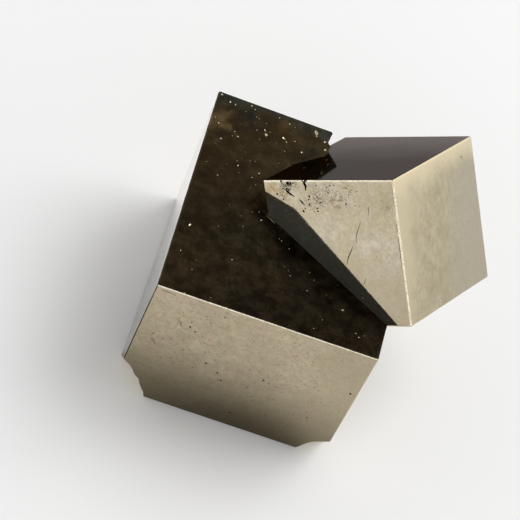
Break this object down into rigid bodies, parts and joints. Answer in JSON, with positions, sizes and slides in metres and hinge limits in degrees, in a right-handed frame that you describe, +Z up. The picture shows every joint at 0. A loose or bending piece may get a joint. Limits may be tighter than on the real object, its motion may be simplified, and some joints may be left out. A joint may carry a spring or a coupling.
{
  "type": "pyrite specimen",
  "caption": "Two intergrown cuboid pyrite crystals: a small turned crystal grows out of the top, right and rear faces of a large one that lies flat.",
  "frame": {"origin": "centre of the specimen's footprint, on the surface that the large crystal lies on", "axes": "+Z up, out of the large crystal's dark top face; +X along its front edge, towards the small crystal; +Y back, away from its light front face"},
  "size_m": [0.056, 0.049, 0.0538],
  "materials": {
    "tarnished_pyrite": "satin",
    "bright_pyrite": "gloss"
  },
  "bodies": {
    "root": {"large_crystal": "tarnished_pyrite", "small_crystal": "bright_pyrite"}
  },
  "joints": []
}
